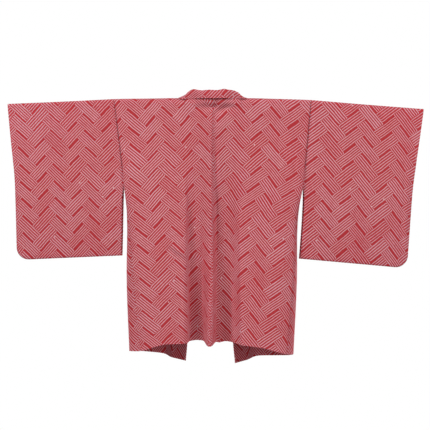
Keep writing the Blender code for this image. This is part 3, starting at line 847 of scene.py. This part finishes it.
def collar_section(spot, inside, way, along, side, stand):
    """Points across the collar at one place of its seam."""
    outside = unit(np.cross(along, way)) * side
    leaving = spot - inside
    leaving = unit(leaving - along * np.dot(leaving, along))
    turn = math.acos(min(1.0, max(-1.0, float(np.dot(leaving, way)))))
    lift = SEAM_GAP + 0.5 * CLOTH_WALL * math.sin(min(turn, 0.5 * math.pi))
    bend = math.radians(stand.fold_deg)
    inner = stand.rise_mm * MM
    outer = COLLAR_WIDTH - COLLAR_ROLL - inner
    offsets = [(inner * i / COLLAR_FLAT_CELLS, 0.0) for i in range(COLLAR_FLAT_CELLS)]
    step = COLLAR_ROLL / COLLAR_ROLL_CELLS
    rise, out = inner, 0.0
    for i in range(COLLAR_ROLL_CELLS):
        offsets.append((rise, out))
        heading = bend * (i + 0.5) / COLLAR_ROLL_CELLS
        rise += step * math.cos(heading)
        out += step * math.sin(heading)
    for i in range(COLLAR_FLAT_CELLS + 1):
        run = outer * i / COLLAR_FLAT_CELLS
        offsets.append((rise + run * math.cos(bend), out + run * math.sin(bend)))
    return [spot + way * (lift + up) + outside * off for up, off in offsets]


def collar(name):
    """The collar: a band round the back neck and down both fronts, as a fine grid."""
    left, left_runs = collar_sections(-1)
    right, right_runs = collar_sections(1)
    sections = np.concatenate([left[:0:-1], right])
    runs = np.concatenate([-left_runs[:0:-1], right_runs])
    count = int((runs[-1] - runs[0]) / COLLAR_STEP)
    where = np.linspace(runs[0], runs[-1], count + 1)
    fine = hermite(runs, sections, where)
    across = np.linspace(0.0, sections.shape[1] - 1, COLLAR_CELLS + 1)
    fine = hermite(np.arange(sections.shape[1]), fine.transpose(1, 0, 2), across).transpose(1, 0, 2)
    width = run_lengths(fine, 1)
    along = np.repeat(where[:, None], width.shape[1], axis=1)
    x, y, z = np.moveaxis(fine, -1, 0)
    share = np.interp(x, np.array(COLLAR_TOP_X) * MM, COLLAR_TOP_SHARE)
    rise = z - COLLAR_TOP_BASE * MM
    beyond = np.maximum(np.abs(x) - COLLAR_END_X * MM, 0.0)
    behind = eased((COLLAR_BEHIND[0] - y) / COLLAR_BEHIND[1])
    edge_share = 1 - behind * (1 - COLLAR_END_EDGE) * eased(beyond / COLLAR_END_REACH)
    z += rise * (np.where(rise > 0, share, edge_share) - 1)
    shorter = np.where(x < 0, COLLAR_END_LENGTH[-1], COLLAR_END_LENGTH[1])
    near_top = eased((z + COLLAR_HIGH[0]) / COLLAR_HIGH[1])
    x -= np.sign(x) * beyond * (1 - shorter) * near_top
    face = np.interp(x / MM, UNDER_COLLAR_X, UNDER_COLLAR_Y) - COLLAR_CLEAR
    turned = eased(np.arange(COLLAR_CELLS + 1) / (0.5 * COLLAR_CELLS) - 1.0)
    turned = turned * eased(-y / COLLAR_TURNED_FADE) * near_top
    y += turned * np.maximum(face * MM - y, 0.0)
    push = relief(np.stack([along, along, width], axis=-1), (), COLLAR_SWELLS)
    weave = laid_weave(name, width, along)
    return fine, weave, push, COLLAR_WALL, False


class Net:
    """Adds nodes to a material or the world, and links them."""

    def __init__(self, owner):
        owner.use_nodes = True
        self.tree = owner.node_tree

    def fill(self, made, inputs):
        """Links or sets a node's inputs, by their names or in their order."""
        pairs = inputs.items() if isinstance(inputs, dict) else enumerate(inputs)
        for key, value in pairs:
            if isinstance(value, bpy.types.NodeSocket):
                self.tree.links.new(value, made.inputs[key])
            else:
                made.inputs[key].default_value = value

    def node(self, kind, inputs=(), **settings):
        """The outputs of a new node with these inputs and settings."""
        made = self.tree.nodes.new("ShaderNode" + kind)
        for key, value in settings.items():
            setattr(made, key, value)
        self.fill(made, inputs)
        return made.outputs

    def math(self, operation, *values):
        """A sum worked out by a Math node."""
        return self.node("Math", values, operation=operation)[0]

    def mix(self, factor, first, second):
        """One colour or the other."""
        colours = {"Factor": factor, "A": first, "B": second}
        outputs = self.node("Mix", colours, data_type="RGBA")
        return next(out for out in outputs if out.type == "RGBA")

    def noise(self, vector, kind):
        """Soft noise from 0 to 1."""
        inputs = {"Vector": vector, "Scale": kind.scale, "Detail": kind.detail}
        return self.node("TexNoise", inputs)["Fac"]

    def moved(self, value, vector, kind):
        """A value moved up and down by a share of soft noise."""
        change = self.math("SUBTRACT", self.noise(vector, kind), 0.5)
        return self.math("MULTIPLY_ADD", change, kind.share, value)

    def ramp(self, value, low, high):
        """0 below low, 1 above high and smooth between."""
        inputs = {"Value": value, "From Min": low, "From Max": high}
        return self.node("MapRange", inputs, interpolation_type="SMOOTHSTEP")["Result"]


# Colours of the silk: the red ground and bars, and the paler lines
RED = (0.52, 0.041, 0.050, 1.0)
DEEP_RED = (0.455, 0.027, 0.035, 1.0)
PALE = (0.70, 0.39, 0.445, 1.0)
PALE_WORN = (0.60, 0.25, 0.30, 1.0)
SPECK = (0.78, 0.56, 0.60, 1.0)

# A pale line's half width and its soft edge, in line spacings, how much the width differs from
# group to group, and how far a line stands up in the bump
LINE_SHARE = 0.18
LINE_SOFTNESS = 0.05
LINE_CHANCE = 0.08
LINE_HEIGHT = 0.35

# Noise in the silk: how fine and how detailed it is, and how much it counts. DRIFT moves the
# lines, in metres, BEADS and PATCHES widen them, WEAR dulls both colours, and GRAIN and CREPE
# are the weave's own relief.
Noise = namedtuple("Noise", "scale detail share")

DRIFT = Noise(28, 3, 0.004)
BEADS = Noise(420, 2, 0.18)
PATCHES = Noise(26, 2, 0.10)
WEAR = Noise(150, 3, 0.6)
GRAIN = Noise(900, 3, 0.35)
CREPE = Noise(240, 2, 0.5)

# Where the second part of the drift is read, the noise levels at which wear starts and is full,
# how much it counts in the lines, the bump, and the roughness with its change over the crepe
DRIFT_ASIDE = (3.7, 1.9, 0.0)
WEAR_RANGE = (0.35, 0.72)
LINE_WEAR = 0.55
BUMP_STRENGTH = 0.45
BUMP_DISTANCE = 0.7 * MM
ROUGHNESS = 0.66
ROUGHNESS_CHANGE = 0.16

SILK_SHINE = {"Sheen Weight": 0.02, "Sheen Roughness": 0.45, "Specular IOR Level": 0.08}

# Specks where a slub of raw thread shows: the cells to a metre, with no more than one in each,
# its radius as a share of a cell, the share of cells without one, and how strongly it shows
SPECK_CELLS = 11.0
SPECK_SIZE = 0.021
SPECK_RARITY = 0.6
SPECK_STRENGTH = 0.8

# How wide a group's lines are laid, as a share of even spacing: the tightest, and how much is added
GROUP_TIGHT = 0.985
GROUP_SPREAD = 0.16


def herringbone(net, u, v):
    """How near a place is to a pale line, in line spacings, and a random number for its group."""
    minus = partial(net.math, "SUBTRACT")
    times = partial(net.math, "MULTIPLY")
    size = math.sqrt(2) * BAR_GROUP
    p = net.math("DIVIDE", net.math("ADD", u, v), size)
    q = net.math("DIVIDE", minus(v, u), size)
    floor_p = net.math("FLOOR", p)
    floor_q = net.math("FLOOR", q)
    # The cells go by fours: two of a falling group of bars, then two of a rising one
    step = net.math("FLOORED_MODULO", minus(floor_p, floor_q), 4.0)
    falling = net.math("LESS_THAN", step, 1.5)
    rising = minus(1.0, falling)
    late_fall = times(falling, net.math("GREATER_THAN", step, 0.5))
    late_rise = times(rising, net.math("LESS_THAN", step, 2.5))
    second = net.math("ADD", late_fall, late_rise)
    part_p = minus(p, floor_p)
    part_q = minus(q, floor_q)
    along = net.math("ADD", times(falling, part_p), times(rising, part_q))
    across = net.math("ADD", times(falling, part_q), times(rising, part_p))

    first_p = minus(floor_p, late_fall)
    first_q = minus(floor_q, late_rise)
    group = net.node("CombineXYZ", (first_p, first_q, falling))[0]
    dice = net.node("TexWhiteNoise", (group,), noise_dimensions="3D")

    def line_distance(share, spread):
        """Distance from the nearest line, and whether it is inside each of the outer lines."""
        spot = times(minus(share, 0.5), float(BARS_PER_GROUP))
        spot = net.math("ADD", net.math("DIVIDE", spot, spread), BARS_PER_GROUP / 2)
        near = net.math("ABSOLUTE", minus(spot, net.math("ROUND", spot)))
        low = net.math("GREATER_THAN", spot, 0.5)
        high = net.math("LESS_THAN", spot, BARS_PER_GROUP - 0.5)
        return near, low, high

    spread = net.math("MULTIPLY_ADD", dice["Value"], GROUP_SPREAD, GROUP_TIGHT)
    own, low, high = line_distance(across, spread)
    inside = times(low, high)
    end, end_low, end_high = line_distance(along, 1.0)
    below = times(minus(1.0, low), second)
    above = times(minus(1.0, high), minus(1.0, second))
    ends = times(net.math("ADD", below, above), times(end_low, end_high))
    reach = net.math("MULTIPLY_ADD", inside, minus(own, 0.5), 0.5)
    reach = net.math("MULTIPLY_ADD", ends, minus(end, 0.5), reach)
    return reach, dice["Color"]


def silk(name):
    """Crepe silk with a herringbone of pale lines on red."""
    material = bpy.data.materials.new(name)
    net = Net(material)
    place = net.node("UVMap", uv_map="weave")["UV"]
    start = net.node("SeparateXYZ", (place,))
    aside = net.node("VectorMath", (place, DRIFT_ASIDE), operation="ADD")[0]
    u = net.moved(start[0], place, DRIFT)
    v = net.moved(start[1], aside, DRIFT)
    reach, dice = herringbone(net, u, v)
    chance = net.node("SeparateXYZ", (dice,))[1]

    half = net.moved(net.moved(LINE_SHARE, place, BEADS), place, PATCHES)
    half = net.math("MULTIPLY_ADD", net.math("SUBTRACT", chance, 0.5), LINE_CHANCE, half)
    gap = net.math("SUBTRACT", half, reach)
    pale = net.ramp(gap, -LINE_SOFTNESS, LINE_SOFTNESS)

    wear = net.ramp(net.noise(place, WEAR), *WEAR_RANGE)
    ground = net.mix(net.math("MULTIPLY", wear, WEAR.share), RED, DEEP_RED)
    lines = net.mix(net.math("MULTIPLY", wear, LINE_WEAR), PALE, PALE_WORN)
    woven = net.mix(pale, ground, lines)
    grid = {"Vector": place, "Scale": SPECK_CELLS}
    cells = net.node("TexVoronoi", grid, voronoi_dimensions="2D")
    draw = net.node("SeparateXYZ", (cells["Color"],))[0]
    chosen = net.math("GREATER_THAN", draw, SPECK_RARITY)
    speck = net.math("LESS_THAN", cells["Distance"], SPECK_SIZE)
    speck = net.math("MULTIPLY", net.math("MULTIPLY", speck, chosen), SPECK_STRENGTH)

    crepe = net.noise(place, CREPE)
    height = net.math("MULTIPLY", crepe, CREPE.share)
    height = net.math("MULTIPLY_ADD", net.noise(place, GRAIN), GRAIN.share, height)
    height = net.math("MULTIPLY_ADD", pale, LINE_HEIGHT, height)
    bump = {"Strength": BUMP_STRENGTH, "Distance": BUMP_DISTANCE, "Height": height}
    net.fill(net.tree.nodes["Principled BSDF"], {
        "Base Color": net.mix(speck, woven, SPECK),
        "Normal": net.node("Bump", bump)["Normal"],
        "Roughness": net.math("MULTIPLY_ADD", crepe, ROUGHNESS_CHANGE, ROUGHNESS),
        **SILK_SHINE,
    })
    return material


def dress():
    """Every piece of the garment over its solid."""
    collection = bpy.data.collections.new("haori_cloth")
    bpy.context.scene.collection.children.link(collection)
    cloth = silk("herringbone_silk")
    band = silk("collar_silk")
    grids = []
    for side, word in ((-1, "left"), (1, "right")):
        for kind, shape in (("body", body_panel), ("gusset", gusset), ("sleeve", sleeve_piece)):
            node = f"{kind}_{word}"
            grids.append((node, kind, cloth, shape(node, side)))
    grids.append(("collar", "collar", band, collar("collar")))
    for node, kind, look, grid in grids:
        piece = cloth_piece(node, look, *grid)
        collection.objects.link(piece)
        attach(piece, "root")
        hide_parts(node)


# The lamps: four on the camera's side, then three on the side of the open fronts, all turned
# towards one point. place and size are in metres, power in watts.
Lamp = namedtuple("Lamp", "name place size power")

LIT_POINT = (0.0, 0.0, -0.4)

LAMPS = (
    Lamp("left_key", (-2.7, -2.2, 1.15), 1.3, 84),
    Lamp("right_key", (2.8, -2.1, 1.15), 1.6, 67),
    Lamp("fill", (0.6, -3.4, 0), 1.6, 18),
    Lamp("top", (0.2, -0.9, 2.4), 2.4, 15),
    Lamp("front_left", (-2.5, 2.3, 0.9), 1.6, 80),
    Lamp("front_right", (2.6, 2.2, 0.9), 1.5, 92),
    Lamp("front_fill", (0.4, 3.4, 0.6), 2, 8),
)

# The floor turns into a plain white ring between two distances. The ring and the world look
# white and give less light than that.
FLOOR_RADIUS = 3.0
FLOOR_LEVEL = -1.3
FLOOR_COLOUR = (0.6, 0.6, 0.6, 1.0)
FLOOR_ROUGHNESS = 0.9
RING_RANGE = (0.5, 1.25)
RING_LIGHT = 0.1
WORLD_LIGHT = 0.05
WHITE = (1.0, 1.0, 1.0, 1.0)

CAMERA_PLACE = (0.008, -3.3, -0.368)
CAMERA_LENS = 88.27
CAMERA_SENSOR = 36.0


def soft_light(lamp):
    """A large soft lamp, turned towards the garment."""
    data = bpy.data.lights.new(lamp.name, "AREA")
    data.shape = "DISK"
    data.size = lamp.size
    data.energy = lamp.power
    item = bpy.data.objects.new(lamp.name, data)
    item.location = lamp.place
    item.rotation_euler = (Vector(LIT_POINT) - item.location).to_track_quat("-Z", "Y").to_euler()
    bpy.context.scene.collection.objects.link(item)


def seen_white(net, strength):
    """1 as the camera sees it, and a given strength as it lights the garment."""
    seen = net.node("LightPath")["Is Camera Ray"]
    return net.math("MULTIPLY_ADD", seen, 1.0 - strength, strength)


def studio():
    """A pale floor far below, soft lights and the camera at the photo's angle."""
    scene = bpy.context.scene
    scene.view_settings.view_transform = "Standard"
    scene.cycles.denoising_prefilter = "NONE"
    world = bpy.data.worlds.new("studio")
    scene.world = world
    net = Net(world)
    light = {"Color": WHITE, "Strength": seen_white(net, WORLD_LIGHT)}
    net.fill(net.tree.nodes["Background"], light)

    bpy.ops.mesh.primitive_circle_add(vertices=96, radius=FLOOR_RADIUS, fill_type="NGON",
                                      location=(0, 0, FLOOR_LEVEL))
    floor = bpy.context.object
    floor.name = "floor"
    material = bpy.data.materials.new("floor_pale")
    net = Net(material)
    shader = net.tree.nodes["Principled BSDF"]
    net.fill(shader, {"Base Color": FLOOR_COLOUR, "Roughness": FLOOR_ROUGHNESS})
    place = net.node("TexCoord")["Object"]
    length = net.node("VectorMath", (place,), operation="LENGTH")["Value"]
    glow = net.node("Emission", {"Strength": seen_white(net, RING_LIGHT)})[0]
    ring = net.ramp(length, *RING_RANGE)
    both = net.node("MixShader", (ring, shader.outputs[0], glow))[0]
    net.fill(net.tree.nodes["Material Output"], {"Surface": both})
    floor.data.materials.append(material)

    for lamp in LAMPS:
        soft_light(lamp)

    data = bpy.data.cameras.new("camera")
    data.sensor_width = CAMERA_SENSOR
    data.lens = CAMERA_LENS
    camera = bpy.data.objects.new("camera", data)
    camera.location = CAMERA_PLACE
    camera.rotation_euler = (math.radians(90.0), 0.0, 0.0)
    scene.collection.objects.link(camera)
    scene.camera = camera


dress()
studio()
